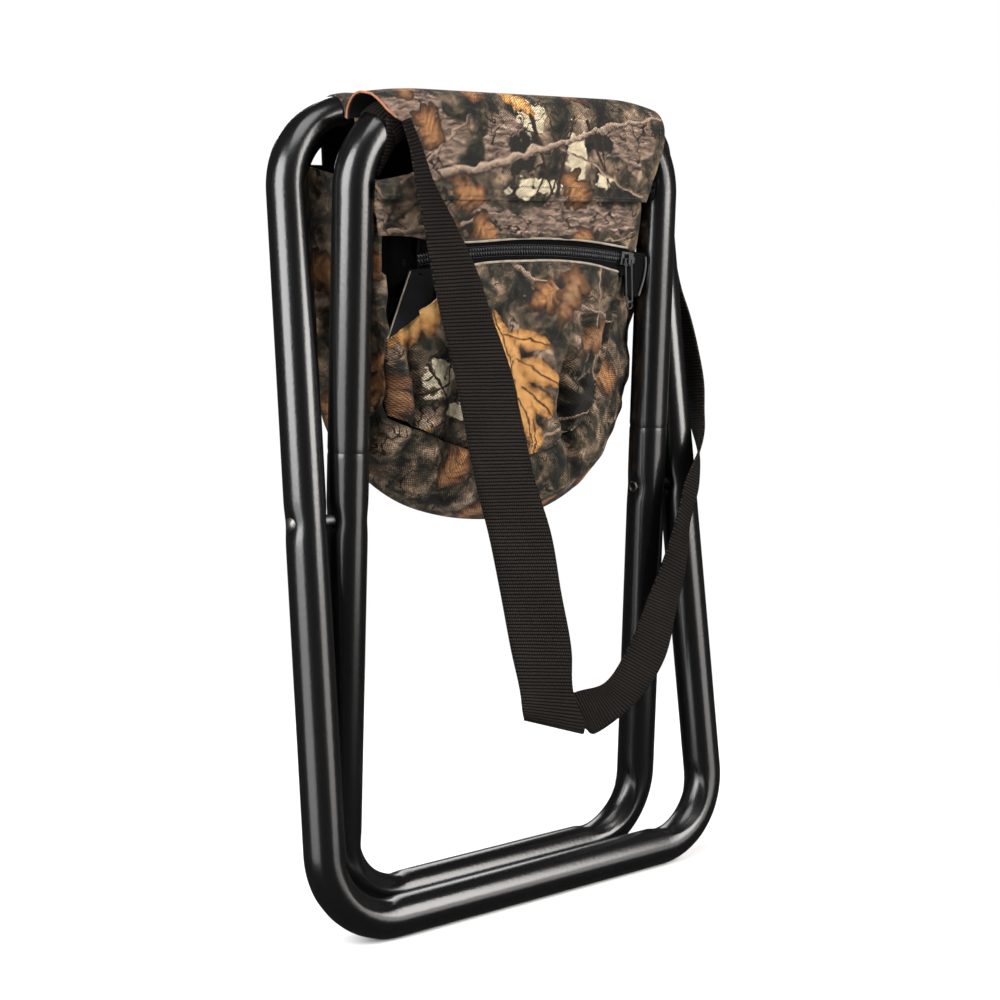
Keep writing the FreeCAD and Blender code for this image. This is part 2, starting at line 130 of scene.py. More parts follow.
# --- materials ---
class Shader:
    """Writes a material's nodes. Each method adds one and gives its output."""

    def __init__(self, name):
        self.material = bpy.data.materials.new(name)
        self.material.use_nodes = True
        self.tree = self.material.node_tree
        self.tree.nodes.clear()

    def node(self, kind, values=None, **settings):
        made = self.tree.nodes.new("ShaderNode" + kind)
        for key, value in settings.items():
            setattr(made, key, value)
        for key, value in (values or {}).items():
            if isinstance(value, bpy.types.NodeSocket):
                self.tree.links.new(value, made.inputs[key])
            elif made.inputs[key].type == "RGBA":
                made.inputs[key].default_value = (*value, 1)
            else:
                made.inputs[key].default_value = value
        return made

    def math(self, operation, a, b=0.0, c=0.0):
        return self.node("Math", {0: a, 1: b, 2: c}, operation=operation).outputs[0]

    def times(self, a, b):
        return self.math("MULTIPLY", a, b)

    def line(self, a, slope, base):
        return self.math("MULTIPLY_ADD", a, slope, base)

    def flip(self, a):
        return self.math("SUBTRACT", 1.0, a)

    def wave(self, value, pitch):
        return self.math("SINE", self.times(value, 2 * math.pi / pitch))

    def size(self, a):
        return self.math("ABSOLUTE", a)

    def step(self, value, low, high):
        made = self.node("MapRange", {0: value, 1: low, 2: high}, interpolation_type="SMOOTHSTEP")
        return made.outputs[0]

    def mix(self, share, a, b, blend="MIX"):
        made = self.node("Mix", {0: share, 6: a, 7: b}, data_type="RGBA", blend_type=blend)
        return made.outputs[2]

    def ramp(self, value, *stops):
        made = self.node("ValToRGB", {0: value})
        band = made.color_ramp
        while len(band.elements) < len(stops):
            band.elements.new(0.5)
        for element, (at, colour) in zip(band.elements, stops):
            element.position = at
            element.color = (*colour, 1)
        return made.outputs[0]

    def place(self, where, move=(0, 0, 0), turn=0.0, scale=(1, 1, 1)):
        values = {0: where, 1: move, 2: (0, 0, turn), 3: scale}
        return self.node("Mapping", values, vector_type="POINT").outputs[0]

    def noise(self, where, scale, detail=2.0, rough=0.5, warp=0.0):
        values = {"Vector": where, "Scale": scale, "Detail": detail, "Roughness": rough,
                  "Distortion": warp}
        return self.node("TexNoise", values).outputs[0]

    def vector(self, operation, a, b=(0, 0, 0)):
        return self.node("VectorMath", {0: a, 1: b}, operation=operation).outputs[0]

    def distance(self, a):
        return self.node("VectorMath", {0: a}, operation="LENGTH").outputs[1]

    def warped(self, where, scale, reach):
        colour = self.node("TexNoise", {"Vector": where, "Scale": scale, "Detail": 3.0}).outputs[1]
        centred = self.vector("SUBTRACT", colour, (0.5, 0.5, 0.5))
        return self.vector("ADD", where, self.vector("MULTIPLY", centred, (reach, reach, 0)))

    def axes(self, where):
        return self.node("SeparateXYZ", {0: where}).outputs[:2]

    def turned_to(self, where, x, y, degrees):
        """The same place seen from a point, with X along a direction."""
        return self.place(self.place(where, (-x, -y, 0)), turn=-math.radians(degrees))

    def flat_mm(self):
        """The cloth's own flat coordinates, in millimetres."""
        flat = self.node("UVMap", uv_map="flat").outputs[0]
        return self.place(flat, scale=(1000, 1000, 1))

    def finish(self, colour, rough, height=None, bump=0.0, **fixed):
        values = {"Base Color": colour, "Roughness": rough}
        values.update({key.replace("_", " "): value for key, value in fixed.items()})
        if height is not None:
            values["Normal"] = self.node("Bump", {"Height": height, "Distance": bump}).outputs[0]
        surface = self.node("BsdfPrincipled", values)
        self.node("OutputMaterial", {0: surface.outputs[0]})
        return self.material

    def leaf(self, p, lobes):
        """An oak leaf along X from 0 to 1. Gives its mask, its veins and how near its edge is."""
        x, y = self.axes(p)
        side = self.size(y)
        along = self.line(side, -0.45, x)
        inside = self.math("MINIMUM", self.math("MAXIMUM", x, 0.0), 1.0)
        swell = self.math("SINE", self.times(self.math("POWER", inside, 0.85), math.pi))
        wave = self.size(self.math("SINE", self.times(along, math.pi * lobes)))
        lobe = self.line(self.math("POWER", wave, 0.55), 0.5, 0.5)
        half = self.times(self.times(swell, lobe), 0.4)
        edge = self.math("SUBTRACT", half, side)
        spine = self.flip(self.step(side, 0.004, 0.016))
        branch = self.flip(self.step(wave, 0.9, 1.0))
        veins = self.math("MAXIMUM", spine, self.flip(branch))
        return self.step(edge, 0.0, 0.012), veins, edge


def black_paint():
    s = Shader("black_paint")
    where = s.node("TexCoord").outputs["Object"]
    cloud = s.noise(where, 9, 3)
    peel = s.noise(where, 420, 2)
    dust = s.step(s.noise(where, 1500, 2), 0.68, 0.8)
    colour = s.mix(dust, (0.0022, 0.0021, 0.0022), (0.009, 0.0086, 0.0082))
    rough = s.line(cloud, 0.08, 0.19)
    return s.finish(colour, rough, peel, 0.00006, Specular_IOR_Level=0.5)


def metal(name, colour, rough, polish):
    s = Shader(name)
    where = s.node("TexCoord").outputs["Object"]
    grain = s.noise(where, 900, 3)
    stain = s.noise(where, 260, 4, 0.6)
    dark = tuple(c * 0.45 for c in colour)
    shade = s.ramp(stain, (0.35, dark), (0.6, colour))
    return s.finish(shade, s.line(grain, 0.25, rough), grain, 0.00004, Metallic=polish)


def camo():
    s = Shader("camo_cloth")
    mm = s.flat_mm()
    wavy = s.warped(mm, 0.055, 16)
    fine = s.warped(mm, 0.3, 3)

    def blob(x, y, rx, ry):
        """1 in the middle of an oval, 0 at its edge and negative outside."""
        local = s.place(wavy, (-x / rx, -y / ry, 0), 0, (1 / rx, 1 / ry, 1))
        return s.flip(s.distance(s.vector("MULTIPLY", local, (1, 1, 0))))

    def any_of(*ovals):
        blobs = [blob(*oval) for oval in ovals]
        found = blobs[0]
        for other in blobs[1:]:
            found = s.math("MAXIMUM", found, other)
        return found

    # backdrop of dark greens and browns
    tone = s.noise(wavy, 0.06, 5, 0.66)
    colour = s.ramp(tone, (0.4, (0.004, 0.0042, 0.0034)), (0.47, (0.018, 0.017, 0.011)),
                    (0.53, (0.055, 0.042, 0.028)), (0.6, (0.13, 0.092, 0.064)),
                    (0.68, (0.27, 0.21, 0.155)))

    # bark, streaked along the trunks
    streak = s.noise(s.place(fine, turn=0.5, scale=(0.1, 0.42, 1)), 1.0, 9, 0.78, 0.25)
    bark = s.ramp(streak, (0.36, (0.008, 0.006, 0.005)), (0.45, (0.05, 0.036, 0.028)),
                  (0.53, (0.14, 0.1, 0.08)), (0.6, (0.24, 0.18, 0.145)), (0.7, (0.5, 0.41, 0.34)))
    trunks = any_of((-82, 226, 40, 30), (20, 176, 96, 12), (78, 224, 34, 13), (-50, 8, 60, 20),
                    (-20, 222, 22, 18), (-110, 130, 14, 60), (70, 62, 30, 12), (-80, 160, 20, 12))
    patch = s.line(s.noise(wavy, 0.03, 2), 1.6, s.times(trunks, 0.75))
    colour = s.mix(s.step(patch, 0.9, 0.99), colour, bark)

    # pale sky and dry grass showing through
    pale = any_of((2, 238, 17, 17), (38, 214, 13, 28), (10, 196, 36, 8), (-66, 82, 16, 15),
                  (42, 34, 11, 16), (-50, 62, 14, 8), (80, 62, 9, 20), (60, 200, 12, 5))
    gaps = s.line(s.noise(fine, 0.11, 4, 0.62), 1.5, s.times(pale, 0.9))
    cream = s.ramp(s.noise(mm, 0.2, 4), (0.3, (0.2, 0.185, 0.13)), (0.7, (0.46, 0.41, 0.3)))
    colour = s.mix(s.step(gaps, 1.07, 1.1), colour, cream)

    # dark patches of the print, deep shade between the trunks; those low on the pouch's front also
    # paint the shade of its folds
    shade = any_of((54, 66, 24, 26), (-36, 16, 44, 14), (20, 130, 50, 10), (-84, 56, 12, 30),
                   (60, 226, 12, 14), (-6, 216, 14, 18), (-40, 174, 22, 9))
    deep = s.line(s.noise(wavy, 0.09, 3, 0.6), 1.4, s.times(shade, 0.8))
    colour = s.mix(s.step(deep, 0.92, 1.02), colour, (0.0075, 0.0078, 0.0058))

    def bough(x, y, turn, length, thick, dark, light, over=fine):
        """A tapering branch from a point, shaded round."""
        nonlocal colour
        along, side = s.axes(s.turned_to(over, x, y, turn))
        part = s.math("DIVIDE", along, length)
        half = s.line(part, -0.7 * thick, thick)
        off = s.math("DIVIDE", side, half)
        inside = s.math("LESS_THAN", s.size(s.line(part, 2, -1)), 1.0)
        shape = s.times(s.flip(s.step(s.size(off), 0.75, 1.0)), inside)
        skin = s.line(off, 0.3, s.noise(fine, 0.5, 4, 0.7))
        mid = tuple((a + b) / 2.6 for a, b in zip(dark, light))
        colour = s.mix(shape, colour, s.ramp(skin, (0.25, dark), (0.5, mid), (0.85, light)))

    # twigs follow the level lines of a smooth noise
    field = s.noise(s.place(fine, (31, 31, 0)), 0.05, 2)
    off = s.size(s.math("SUBTRACT", field, 0.5))
    twigs = s.flip(s.step(off, 0.006, 0.012))
    colour = s.mix(twigs, colour, (0.009, 0.007, 0.005))
    night, soil, ash = (0.006, 0.005, 0.004), (0.03, 0.018, 0.011), (0.3, 0.22, 0.17)
    for spot in ((-4, 250, -70, 62, 2.4), (20, 190, 74, 52, 2.0), (34, 188, 112, 56, 1.6),
                 (44, 238, -62, 60, 1.5), (12, 186, 62, 34, 1.2), (28, 236, -118, 52, 1.5),
                 (-76, 92, -58, 44, 1.3), (-58, 96, -100, 40, 1.1), (-80, 72, 20, 40, 1.0),
                 (34, 48, -72, 34, 1.1), (50, 44, -112, 30, 0.9), (70, 84, -48, 40, 1.2),
                 (-14, 182, 84, 40, 1.3), (56, 236, -80, 48, 1.4)):
        bough(*spot, night, soil)
    for spot in ((-52, 10, 24, 120, 3.2), (92, 30, 118, 90, 2.4), (-110, 60, 70, 110, 3.0),
                 (-10, 148, -24, 96, 2.2), (64, 156, -100, 70, 1.8), (-100, 168, 8, 90, 2.0),
                 (96, 190, 158, 80, 2.0), (-96, 196, 40, 60, 2.2), (20, 152, 12, 70, 1.6)):
        bough(*spot, soil, ash, wavy)

    # scattered small leaves, one to a cell
    cells = s.place(wavy, scale=(0.03, 0.03, 1))
    cell = s.node("TexVoronoi", {"Vector": cells, "Scale": 1.0}, voronoi_dimensions="2D")
    local = s.vector("SUBTRACT", cells, cell.outputs["Position"])
    pick = s.node("SeparateColor", {0: cell.outputs["Color"]}).outputs
    spin = {"Vector": local, "Angle": s.times(pick[0], 6.28)}
    turned = s.node("VectorRotate", spin, rotation_type="Z_AXIS").outputs[0]
    mask, veins, edge = s.leaf(s.place(turned, (0.5, 0, 0)), 3.5)
    shown = s.times(mask, s.step(pick[1], 0.72, 0.74))
    grain = s.math("ADD", s.times(edge, 2), s.times(s.noise(fine, 0.2, 4, 0.7), 0.7))
    dry = s.ramp(grain, (0.35, (0.01, 0.007, 0.004)), (0.55, (0.07, 0.032, 0.014)),
                 (0.9, (0.24, 0.12, 0.05)))
    colour = s.mix(shown, colour, s.mix(s.times(veins, 0.4), dry, (0.02, 0.012, 0.008)))

    # large oak leaves, golden ones and shaded brown ones
    gold = ((0.4, (0.025, 0.012, 0.006)), (0.54, (0.16, 0.075, 0.024)),
            (0.7, (0.36, 0.19, 0.062)), (1.0, (0.5, 0.32, 0.13)))
    brown = ((0.42, (0.008, 0.005, 0.003)), (0.58, (0.035, 0.018, 0.009)),
             (0.78, (0.11, 0.055, 0.026)), (1.0, (0.2, 0.12, 0.065)))
    big = ((44, 150, 46, -2.0, 3.6, brown), (74, 112, 38, -2.6, 3.6, brown),
           (-62, 134, 62, 3.7, 3.4, gold), (-20, 258, 30, -0.7, 3.6, gold),
           (-106, 92, 50, -1.2, 3.2, brown), (-92, 22, 40, 0.9, 3.5, gold),
           (94, 136, 34, -1.6, 3.2, gold))
    torn = s.warped(fine, 0.1, 5)
    for x, y, size, turn, lobes, hues in big:
        spun = s.place(s.place(torn, (-x, -y, 0)), turn=-turn)
        mask, veins, edge = s.leaf(s.place(spun, scale=(1 / size, 1.35 / size, 1)), lobes)
        grain = s.line(edge, 1.6, s.noise(fine, 0.2, 6, 0.72))
        colour = s.mix(mask, colour, s.mix(s.times(veins, 0.5), s.ramp(grain, *hues),
                                           (0.07, 0.03, 0.012)))

    # one pointed golden leaf made of tapering lobes
    found, ribs = None, None
    lobes = ((-28, 124, -66, 96, 12), (-18, 108, -14, 40, 6.5), (-6, 92, -30, 38, 8),
             (0, 74, -40, 32, 7), (-10, 90, -104, 40, 8), (8, 52, -70, 26, 7))
    for x, y, turn, length, half in lobes:
        along, side = s.axes(s.turned_to(torn, x, y, turn))
        part = s.math("DIVIDE", along, length)
        arch = s.times(s.times(part, s.flip(part)), 4.0 * half)
        off = s.size(side)
        lobe = s.math("SUBTRACT", arch, off)
        rib = s.math("MAXIMUM", off, s.times(arch, -1.0))
        found = lobe if found is None else s.math("MAXIMUM", found, lobe)
        ribs = rib if ribs is None else s.math("MINIMUM", ribs, rib)
    grain = s.line(s.math("MINIMUM", found, 5.0), 0.05, s.noise(fine, 0.2, 6, 0.72))
    leaf = s.mix(s.flip(s.step(ribs, 0.3, 0.9)), s.ramp(grain, *gold), (0.05, 0.022, 0.009))
    colour = s.mix(s.step(found, 0.0, 0.5), colour, leaf)

    # the long bough across the flap
    bough(-66, 202, 13.5, 190, 3.8, (0.008, 0.005, 0.004), (0.36, 0.27, 0.21), wavy)

    # grain of the print, and the weave it lies on, with painted shade between its threads and painted
    # highlight on their crowns
    speck = s.noise(mm, 0.9, 4, 0.75)
    colour = s.mix(1.0, colour, s.ramp(speck, (0.34, (0.35, 0.35, 0.35)), (0.5, (0.95, 0.94, 0.93)),
                                       (0.68, (1.75, 1.7, 1.65))), "MULTIPLY")
    x, y = s.axes(s.place(mm, turn=0.1))
    weave = s.line(s.times(s.wave(x, 1.6), s.wave(y, 1.6)), 0.5, 0.5)
    # painted shade in the weave's gaps and painted highlight on its crowns, taken from the weave's
    # height
    thread_shade_and_highlight = s.ramp(weave, (0.15, (0.24, 0.24, 0.24)), (0.75, (1.4, 1.33, 1.26)))
    colour = s.mix(1.0, colour, thread_shade_and_highlight, "MULTIPLY")
    return s.finish(colour, 0.75, weave, 0.0003, Sheen_Weight=0.03, Specular_IOR_Level=0.14)


def plain_cloth(name, dark, light, rough, pitch=0.9, depth=0.00012):
    s = Shader(name)
    mm = s.flat_mm()
    x, y = s.axes(mm)
    weave = s.line(s.times(s.wave(x, pitch), s.wave(y, pitch)), 0.5, 0.5)
    # colour from the weave's height plus noise: painted shade in the gaps between threads, and random
    # tone from the noise
    share = s.times(s.math("ADD", weave, s.noise(mm, 0.1, 4)), 0.55)
    return s.finish(s.mix(share, dark, light), rough, weave, depth,
                    Sheen_Weight=0.005, Specular_IOR_Level=0.02)


def webbing():
    """Ribs across the band, each a row of slanting yarn loops, half a loop off the next."""
    s = Shader("black_webbing")
    mm = s.flat_mm()
    x, y = s.axes(s.warped(mm, 0.15, 0.5))
    rib = s.math("DIVIDE", y, 2.2)
    row = s.math("FLOOR", rib)
    shift = s.times(s.math("MODULO", s.size(row), 2.0), 0.5)
    loop = s.math("ADD", s.math("DIVIDE", x, 1.15), shift)
    slant = s.line(rib, 0.18, loop)
    along = s.size(s.math("SINE", s.times(rib, math.pi)))
    across = s.size(s.math("SINE", s.times(slant, math.pi)))
    height = s.times(s.math("POWER", along, 0.6), s.line(across, 0.6, 0.4))
    fuzz = s.noise(mm, 2.6, 3, 0.7)
    uneven_highlight = s.noise(mm, 0.03, 3)
    # painted highlight on the raised rib tops and painted shade in the grooves between them, made
    # uneven across the band
    lift = s.times(height, s.line(uneven_highlight, 0.6, 0.7))
    colour = s.mix(s.step(lift, 0.3, 0.95), (0.0004, 0.0004, 0.0004), (0.017, 0.0135, 0.011))
    colour = s.mix(s.times(s.step(fuzz, 0.6, 0.75), 0.2), colour, (0.012, 0.0095, 0.008))
    return s.finish(colour, 0.7, height, 0.0009, Sheen_Weight=0.004, Specular_IOR_Level=0.05)


def dull(name, colour, light, rough, scale):
    s = Shader(name)
    where = s.node("TexCoord").outputs["Object"]
    grain = s.noise(where, scale, 3)
    return s.finish(s.mix(grain, colour, light), rough, grain, 0.00008)


PAINT = black_paint()
CAMO = camo()
LINING = plain_cloth("dark_lining", (0.003, 0.003, 0.0034), (0.015, 0.015, 0.0165), 0.7)
TAPE = plain_cloth("zip_tape_cloth", (0.0008, 0.0008, 0.0009), (0.004, 0.004, 0.0043), 0.8, 1.4)
WEBBING = webbing()
BRIGHT = metal("bright_steel", (0.13, 0.125, 0.12), 0.28, 1.0)
PLAIN = metal("plain_steel", (0.07, 0.07, 0.073), 0.34, 1.0)
LACQUER = metal("black_lacquer", (0.007, 0.007, 0.0075), 0.2, 0.5)
# the coil: dark nylon grain, with a lighter speckle that is painted glints
COIL = dull("coil_nylon", (0.004, 0.004, 0.0045), (0.03, 0.03, 0.031), 0.26, 700)
THREAD = dull("dark_thread", (0.008, 0.007, 0.006), (0.025, 0.022, 0.018), 0.7, 2500)
PALE_EDGE = dull("pale_edge", (0.05, 0.042, 0.032), (0.3, 0.25, 0.19), 0.8, 260)
# grey for a thin line along the black right zip tab's edge: a painted highlight where the edge
# catches light
TAB_EDGE_HIGHLIGHT = dull("tab_edge_highlight", (0.02, 0.02, 0.021), (0.07, 0.07, 0.073), 0.8, 900)
RUST_EDGE = dull("rust_edge", (0.12, 0.035, 0.012), (0.34, 0.13, 0.05), 0.8, 600)


# --- building meshes ---
def mesh_piece(name, points, faces, material, uv=None):
    points = np.asarray(points, float).reshape(-1, 3)
    faces = np.asarray(faces)
    mesh = bpy.data.meshes.new(name)
    mesh.from_pydata(points.tolist(), [], faces.tolist())
    if uv is not None:
        layer = mesh.uv_layers.new(name="flat")
        layer.data.foreach_set("uv", np.asarray(uv).reshape(-1, 2)[faces.ravel()].ravel())
    mesh.shade_smooth()
    mesh.materials.append(material)
    obj = bpy.data.objects.new(name, mesh)
    bpy.context.scene.collection.objects.link(obj)
    return obj


def grid_faces(rows, cols, wrap_rows=False, wrap_cols=False):
    index = np.arange(rows * cols).reshape(rows, cols)
    if wrap_rows:
        index = np.vstack([index, index[:1]])
    if wrap_cols:
        index = np.hstack([index, index[:, :1]])
    quads = [index[:-1, :-1], index[1:, :-1], index[1:, 1:], index[:-1, 1:]]
    return np.stack(quads, -1).reshape(-1, 4)


def sheet_piece(name, points, uv_mm, material, thick, inside=None, offset=-1.0):
    """A sheet of cloth over a grid of points. Its inside face can be another material."""
    rows, cols = points.shape[:2]
    obj = mesh_piece(name, points, grid_faces(rows, cols), material, np.asarray(uv_mm) / 1000)
    if inside:
        obj.data.materials.append(inside)
    solid = obj.modifiers.new("thickness", "SOLIDIFY")
    solid.thickness = thick / 1000
    solid.offset = offset
    solid.material_offset = 1 if inside else 0
    return obj


def tube_along(name, path, radius, material, sides=8):
    """A round tube round a line of points, with a frame carried along it."""
    ahead = np.gradient(path, axis=0)
    ahead /= np.linalg.norm(ahead, axis=1)[:, None]
    side = np.cross(ahead[0], (0.3, 0.5, 0.8))
    rings = []
    for p, t in zip(path, ahead):
        side = side - t * (side @ t)
        side /= np.linalg.norm(side)
        up = np.cross(t, side)
        turn = np.linspace(0, 2 * math.pi, sides, endpoint=False)[:, None]
        rings.append(p + radius * (np.cos(turn) * side + np.sin(turn) * up))
    return mesh_piece(name, rings, grid_faces(len(path), sides, wrap_cols=True), material)


def stitches(name, path, lift, pitch=3.1, length=2.2, radius=0.28):
    """A row of thread stitches, each a small pointed bead along the path, in millimetres."""
    gone = run_along(path)
    starts = np.arange(pitch / 2000, gone[-1] - pitch / 2000, pitch / 1000)
    points, faces = [], []
    turn = np.linspace(0, 2 * math.pi, 6, endpoint=False)[:, None]
    for k, at in enumerate(starts):
        ends = np.array([[np.interp(a, gone, path[:, i]) for i in range(3)]
                         for a in (at - length / 2000, at + length / 2000)])
        along = ends[1] - ends[0]
        along /= np.linalg.norm(along)
        out = lift - along * (lift @ along)
        out /= np.linalg.norm(out)
        side = np.cross(along, out)
        base = len(points)
        for share, width, height in ((0, 0.35, -0.3), (0.25, 1, 0.6), (0.75, 1, 0.6),
                                     (1, 0.35, -0.3)):
            middle = ends[0] + (ends[1] - ends[0]) * share + out * height * radius / 1000
            ring = middle + (np.cos(turn) * side + np.sin(turn) * out) * width * radius / 1000
            points.extend(ring.tolist())
        faces.append(grid_faces(4, 6, wrap_cols=True) + base)
    return mesh_piece(name, points, np.concatenate(faces), THREAD)


def ride(obj, body, replaces=()):
    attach(obj, body)
    if replaces:
        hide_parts(*replaces)
    return obj


# --- camera, light and floor ---
def studio():
    yaw, pitch, roll = 0.675, -0.110, -0.022
    look = Vector((math.sin(yaw) * math.cos(pitch), math.cos(yaw) * math.cos(pitch),
                   math.sin(pitch)))
    level = Vector((math.cos(yaw), -math.sin(yaw), 0))
    over = level.cross(look)
    right = level * math.cos(roll) + over * math.sin(roll)
    up = over * math.cos(roll) - level * math.sin(roll)
    data = bpy.data.cameras.new("camera")
    data.lens = 69.85
    camera = bpy.data.objects.new("camera", data)
    camera.matrix_world = Matrix((
        (right.x, up.x, -look.x, -0.7642), (right.y, up.y, -look.y, -0.9490),
        (right.z, up.z, -look.z, 0.3890), (0, 0, 0, 1)))
    bpy.context.scene.collection.objects.link(camera)
    bpy.context.scene.camera = camera

    lamps = (("left_softbox", (-1.17, -0.2, 0.74), 0.27, (0.84, 1.0), 37, (0.985, 0.99, 1)),
             ("left_low_softbox", (-1.17, -0.2, 0.03), 0.03, (0.84, 0.42), 4.6, (0.985, 0.99, 1)),
             ("right_softbox", (0.62, -1.13, 0.74), 0.27, (0.78, 1.0), 38, (1, 0.975, 0.94)),
             ("right_low_softbox", (0.62, -1.13, 0.03), 0.03, (0.78, 0.42), 4.6, (1, 0.975, 0.94)),
             ("top_softbox", (-0.35, -0.6, 1.7), 0.27, (0.9, 0.9), 16, (1, 1, 1)),
             ("rear_softbox", (0.7, 1.2, 1.0), 0.27, (0.8, 0.8), 9, (1, 1, 1)))
    for name, place, height, size, power, colour in lamps:
        light = bpy.data.lights.new(name, "AREA")
        light.shape = "RECTANGLE"
        light.size, light.size_y = size
        light.energy = power
        light.color = colour
        lamp = bpy.data.objects.new(name, light)
        lamp.location = place
        aim = Vector((0, 0, height)) - Vector(place)
        lamp.rotation_euler = aim.to_track_quat("-Z", "Y").to_euler()
        bpy.context.scene.collection.objects.link(lamp)

    world = bpy.data.worlds.new("studio")
    bpy.context.scene.world = world
    world.use_nodes = True
    tree = world.node_tree
    tree.nodes.clear()
    seen = tree.nodes.new("ShaderNodeLightPath")
    dim = tree.nodes.new("ShaderNodeBackground")
    dim.inputs[0].default_value = (1, 1, 1, 1)
    dim.inputs[1].default_value = 0.05
    bright = tree.nodes.new("ShaderNodeBackground")
    bright.inputs[0].default_value = (1, 1, 1, 1)
    bright.inputs[1].default_value = 1.0
    either = tree.nodes.new("ShaderNodeMixShader")
    out = tree.nodes.new("ShaderNodeOutputWorld")
    tree.links.new(seen.outputs["Is Camera Ray"], either.inputs[0])
    tree.links.new(dim.outputs[0], either.inputs[1])
    tree.links.new(bright.outputs[0], either.inputs[2])
    tree.links.new(either.outputs[0], out.inputs[0])
    bpy.context.scene.view_settings.view_transform = "Standard"

    s = Shader("pale_floor")
    where = s.node("TexCoord").outputs["Object"]
    shade = s.ramp(s.noise(where, 4, 3), (0.3, (0.86, 0.86, 0.86)), (0.7, (0.89, 0.89, 0.885)))
    away = s.distance(where)
    sheet = s.node("BsdfDiffuse", {"Color": shade}).outputs[0]
    clear = s.node("BsdfTransparent").outputs[0]
    faded = s.node("MixShader", {0: s.step(away, 0.45, 0.85), 1: sheet, 2: clear}).outputs[0]
    s.node("OutputMaterial", {0: faded})
    y, x = np.meshgrid(np.linspace(-1, 1, 13), np.linspace(-1, 1, 13), indexing="ij")
    spots = np.stack([x, y, np.zeros_like(x)], -1)
    floor = mesh_piece("floor", spots, grid_faces(13, 13), s.material)
    floor.visible_glossy = False


# --- tubes ---
def rounded_path(corners, closed, step=2.6):
    """Centre line through rounded corners: points, tangents and how far the nearest bend is."""
    corners = np.asarray(corners, float)
    count = len(corners)
    spots, middles, length = [], [], 0.0
    order = range(count) if closed else range(1, count - 1)
    last = None if closed else corners[0]
    for i in order:
        before, corner, after = corners[i - 1], corners[i], corners[(i + 1) % count]
        into = (corner - before) / np.linalg.norm(corner - before)
        out = (after - corner) / np.linalg.norm(after - corner)
        turn = math.acos(into @ out)
        reach = BEND_R * math.tan(turn / 2)
        begin = corner - into * reach
        if last is None:
            prior = (before - corners[i - 2]) / np.linalg.norm(before - corners[i - 2])
            last = before + into * BEND_R * math.tan(math.acos(prior @ into) / 2)
        run = np.linalg.norm(begin - last)
        steps = max(2, round(run / step))
        for k in range(steps):
            spots.append(last + (begin - last) * k / steps)
        normal = (out - into) / np.linalg.norm(out - into)
        centre = corner + normal * BEND_R / math.cos(turn / 2)
        length += run
        middles.append(length + BEND_R * turn / 2)
        arcs = 30
        arm = begin - centre
        spin = math.copysign(1, into[0] * out[1] - into[1] * out[0])
        for k in range(arcs):
            a = spin * turn * k / arcs
            c, s = math.cos(a), math.sin(a)
            spots.append(centre + np.array([arm[0] * c - arm[1] * s, arm[0] * s + arm[1] * c]))
        length += BEND_R * turn
        last = corner + out * reach
    if not closed:
        run = np.linalg.norm(corners[-1] - last)
        steps = max(2, round(run / step))
        spots += [last + (corners[-1] - last) * k / steps for k in range(steps + 1)]
    spots = np.array(spots)
    if closed:
        ahead = np.roll(spots, -1, 0) - np.roll(spots, 1, 0)
    else:
        ahead = np.gradient(spots, axis=0)
    ahead /= np.linalg.norm(ahead, axis=1)[:, None]
    gone = run_along(spots)
    near = np.min(np.abs(gone[:, None] - np.array(middles)[None]), axis=1)
    return spots, ahead, near


def loop_tube(name, corners, closed, place, half, dimples=True, widen=None):
    """A bent tube with pressed-in bends and a soft dimple round each rivet."""
    spots, ahead, near = rounded_path(corners, closed)
    outward = np.stack([ahead[:, 1], -ahead[:, 0]], -1)
    middle = np.asarray(corners, float).mean(0)
    if ((spots - middle) * outward).sum() < 0:
        outward = -outward
    sides = 48
    turn = np.linspace(0, 2 * math.pi, sides, endpoint=False)
    inside = np.abs(turn - math.pi)
    outside = np.minimum(turn, 2 * math.pi - turn)
    pocket = (near[:, None] / 43.0) ** 2 + (inside[None] / 1.28) ** 2
    crease = (near[:, None] / 30.0) ** 2 + (outside[None] / 0.62) ** 2
    deep = 1 - 0.35 * smoothstep(0.5, 1.0, 1 - pocket)
    radius = TUBE_R - 1.1 * smoothstep(0, 0.32, 1 - pocket) * deep
    radius = radius - 0.5 * smoothstep(0, 0.5, 1 - crease)
    if widen is not None:
        radius = radius + widen(spots)[:, None]
    x = spots[:, :1] + radius * np.cos(turn) * outward[:, :1]
    s = spots[:, 1:] + radius * np.cos(turn) * outward[:, 1:]
    d = radius * np.sin(turn)
    if dimples:
        for side in (-1, 1):
            across = x - side * half
            soft = 1.6 * np.exp(-((s**2 + (d * 0.85) ** 2) / 7.0**2))
            pressed = x - np.sign(across) * soft * (np.abs(across) > 3)
            x = np.where(np.abs(across) < 14, pressed, x)
    return mesh_piece(name, place(x, s, d), grid_faces(len(spots), sides, closed, True), PAINT)


def tubes():
    low, high = 150 - 0.025 * FOOT, OUTER_HALF
    corners = [(-high, RAIL), (-low, FOOT), (low, FOOT), (high, RAIL)]
    ride(loop_tube("outer_tube", corners, True, outer, 150), "outer_frame",
         ["outer_frame_tube", "outer_frame_plug"])
    low, high, foot = 121 - 0.005 * FOOT, INNER_HALF, 121 - 0.005 * 40

    def lip(spots):
        return -0.35 * smoothstep(40.3, 40.0, spots[:, 1])

    def neck(spots):
        return -0.35 * smoothstep(40.2, 40.5, spots[:, 1])

    corners = [(-foot, 40.0), (-high, RAIL), (high, RAIL), (foot, 40.0)]
    ride(loop_tube("inner_tube_upper", corners, False, inner, 121, False, lip), "inner_frame",
         ["inner_upper_tube"])
    corners = [(-foot, 40.5), (-low, FOOT), (low, FOOT), (foot, 40.5)]
    ride(loop_tube("inner_tube_lower", corners, False, inner, 121, True, neck), "inner_frame",
         ["inner_lower_tube"])


